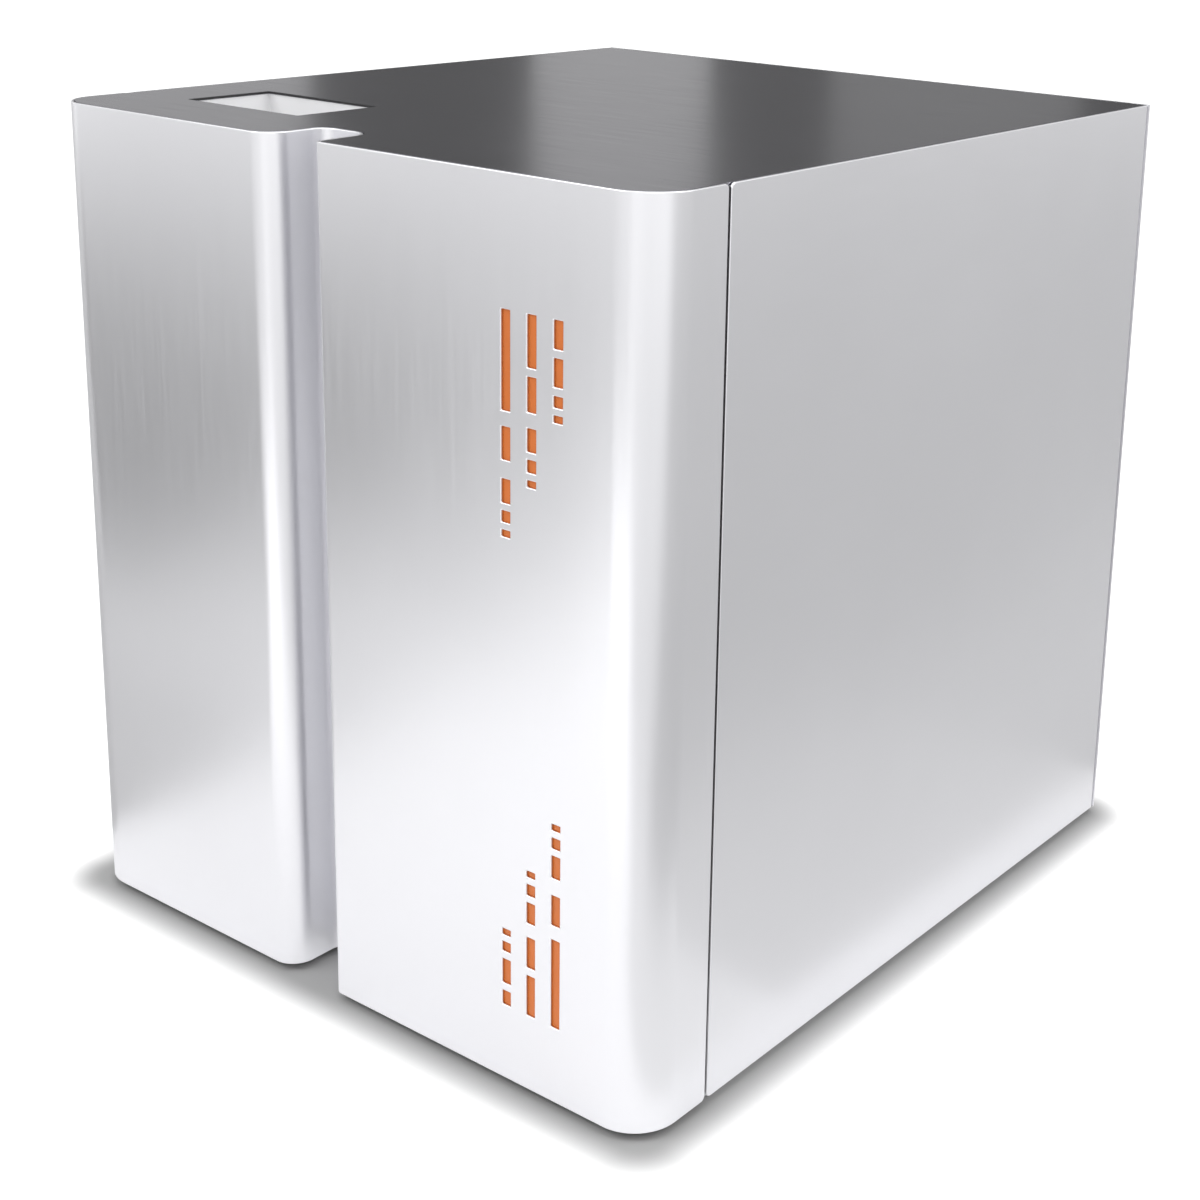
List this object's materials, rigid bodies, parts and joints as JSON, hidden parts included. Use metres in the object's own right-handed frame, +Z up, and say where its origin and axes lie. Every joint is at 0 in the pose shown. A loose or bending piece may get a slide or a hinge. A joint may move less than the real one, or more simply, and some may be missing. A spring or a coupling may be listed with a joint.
{
  "type": "trigas generator",
  "caption": "Bench gas generator that makes nitrogen, source air and exhaust air, in a near-cubic sheet-metal cabinet with a finger groove, slotted fascia and a control well in the top.",
  "frame": {"origin": "on the bench, under the middle of the whole with its rear ports", "axes": "+Z up, front towards -Y, +X to the right seen from the front"},
  "size_m": [0.42, 0.474, 0.461],
  "materials": {
    "fascia_metal": "satin brushed",
    "panel_metal": "satin",
    "cover_metal": "dark satin",
    "frame_metal": "zinc plated",
    "well_metal": "polished",
    "backing_orange": "matt",
    "stud_steel": "bright",
    "catch_plastic": "moulded",
    "foot_rubber": "moulded",
    "display_plastic": "fine texture",
    "clear_glass": "clear",
    "button_metal": "turned",
    "bowl_plastic": "clear moulded",
    "head_aluminium": "anodised",
    "element_media": "fibre",
    "knob_plastic": "moulded",
    "needle_black": "matt",
    "gauge_steel": "bright",
    "dial_white": "matt",
    "cap_plastic": "moulded",
    "tank_paint": "powder coat",
    "coil_plastic": "moulded",
    "tube_nylon": "extruded",
    "fitting_brass": "turned",
    "supply_steel": "plain",
    "board_green": "solder mask",
    "fan_plastic": "moulded",
    "inlet_plastic": "moulded"
  },
  "bodies": {
    "cabinet": {"air_tubing": "tube_nylon", "base_pan": "frame_metal", "board_components": "coil_plastic", "bowl_seals": "foot_rubber", "button_bezel": "button_metal", "control_board": "board_green", "cover_rails": "frame_metal", "display_module": "display_plastic", "display_window": "clear_glass", "fan_frame": "fan_plastic", "fascia_catches": "catch_plastic", "filter_elements": "element_media", "filter_head": "head_aluminium", "front_frame": "frame_metal", "gas_ports": "fitting_brass", "gauge_cases": "gauge_steel", "gauge_dials": "dial_white", "gauge_lenses": "clear_glass", "inlet_pins": "fitting_brass", "left_side_panel": "panel_metal", "membrane_dryer": "head_aluminium", "module_bracket": "frame_metal", "module_clamps": "catch_plastic", "module_end_caps": "cap_plastic", "nitrogen_membranes": "head_aluminium", "panel_screws": "stud_steel", "pneumatics_plate": "frame_metal", "port_nuts": "fitting_brass", "power_inlet": "inlet_plastic", "power_supply": "supply_steel", "rear_panel": "panel_metal", "receiver_tank": "tank_paint", "regulator_bodies": "head_aluminium", "right_side_panel": "panel_metal", "rubber_feet": "foot_rubber", "solenoid_valves": "coil_plastic", "switch_frame": "inlet_plastic", "tank_foot_ring": "frame_metal", "top_cover": "cover_metal", "tube_fittings": "fitting_brass", "valve_block": "head_aluminium", "vent_silencer": "fitting_brass", "well_liner": "well_metal", "wiring_loom": "tube_nylon"},
    "fascia": {"front_fascia": "fascia_metal", "slot_backing": "backing_orange", "fascia_studs": "stud_steel"},
    "button": {"power_button": "button_metal"},
    "rocker": {"power_rocker": "inlet_plastic"},
    "fuse_drawer": {"fuse_drawer": "inlet_plastic"},
    "fan": {"fan_rotor": "fan_plastic"},
    "nitrogen_knob": {"nitrogen_knob": "knob_plastic"},
    "source_knob": {"source_knob": "knob_plastic"},
    "exhaust_knob": {"exhaust_knob": "knob_plastic"},
    "nitrogen_needle": {"nitrogen_needle": "needle_black"},
    "source_needle": {"source_needle": "needle_black"},
    "exhaust_needle": {"exhaust_needle": "needle_black"},
    "particle_bowl": {"particle_filter_bowl": "bowl_plastic"},
    "oil_bowl": {"oil_filter_bowl": "bowl_plastic"},
    "vapour_bowl": {"vapour_filter_bowl": "bowl_plastic"}
  },
  "joints": [
    {"name": "fascia_pull", "type": "slide", "parent": "cabinet", "child": "fascia", "axis": [0, -1, 0], "range_m": [0, 0.12]},
    {"name": "button_press", "type": "slide", "parent": "cabinet", "child": "button", "axis": [0, 0, -1], "range_m": [0, 0.002], "stiffness_N_per_m": 900, "springref_m": -0.0008},
    {"name": "rocker_tip", "type": "hinge", "parent": "cabinet", "child": "rocker", "pos_m": [0.104, 0.222, 0.054], "axis": [1, 0, 0], "range_deg": [0, 16]},
    {"name": "fuse_drawer_slide", "type": "slide", "parent": "cabinet", "child": "fuse_drawer", "axis": [0, 1, 0], "range_m": [0, 0.02]},
    {"name": "fan_spin", "type": "hinge", "parent": "cabinet", "child": "fan", "pos_m": [0.12, 0.211, 0.33], "axis": [0, 1, 0], "continuous": true},
    {"name": "nitrogen_knob_turn", "type": "hinge", "parent": "cabinet", "child": "nitrogen_knob", "pos_m": [0.02, -0.1506, 0.335], "axis": [0, -1, 0], "range_deg": [-720, 720]},
    {"name": "nitrogen_needle_swing", "type": "hinge", "parent": "cabinet", "child": "nitrogen_needle", "pos_m": [0.02, -0.1176, 0.396], "axis": [0, 1, 0], "range_deg": [-130, 130]},
    {"name": "source_knob_turn", "type": "hinge", "parent": "cabinet", "child": "source_knob", "pos_m": [0.074, -0.1506, 0.335], "axis": [0, -1, 0], "range_deg": [-720, 720]},
    {"name": "source_needle_swing", "type": "hinge", "parent": "cabinet", "child": "source_needle", "pos_m": [0.074, -0.1176, 0.396], "axis": [0, 1, 0], "range_deg": [-130, 130]},
    {"name": "exhaust_knob_turn", "type": "hinge", "parent": "cabinet", "child": "exhaust_knob", "pos_m": [0.128, -0.1506, 0.335], "axis": [0, -1, 0], "range_deg": [-720, 720]},
    {"name": "exhaust_needle_swing", "type": "hinge", "parent": "cabinet", "child": "exhaust_needle", "pos_m": [0.128, -0.1176, 0.396], "axis": [0, 1, 0], "range_deg": [-130, 130]},
    {"name": "particle_bowl_twist", "type": "hinge", "parent": "cabinet", "child": "particle_bowl", "pos_m": [0.02, -0.1266, 0.2], "axis": [0, 0, 1], "range_deg": [0, 45]},
    {"name": "oil_bowl_twist", "type": "hinge", "parent": "cabinet", "child": "oil_bowl", "pos_m": [0.074, -0.1266, 0.2], "axis": [0, 0, 1], "range_deg": [0, 45]},
    {"name": "vapour_bowl_twist", "type": "hinge", "parent": "cabinet", "child": "vapour_bowl", "pos_m": [0.128, -0.1266, 0.2], "axis": [0, 0, 1], "range_deg": [0, 45]}
  ],
  "couplings": [
    {"joint": "nitrogen_needle_swing", "follows": "nitrogen_knob_turn", "ratio": 0.18},
    {"joint": "source_needle_swing", "follows": "source_knob_turn", "ratio": 0.18},
    {"joint": "exhaust_needle_swing", "follows": "exhaust_knob_turn", "ratio": 0.18}
  ]
}
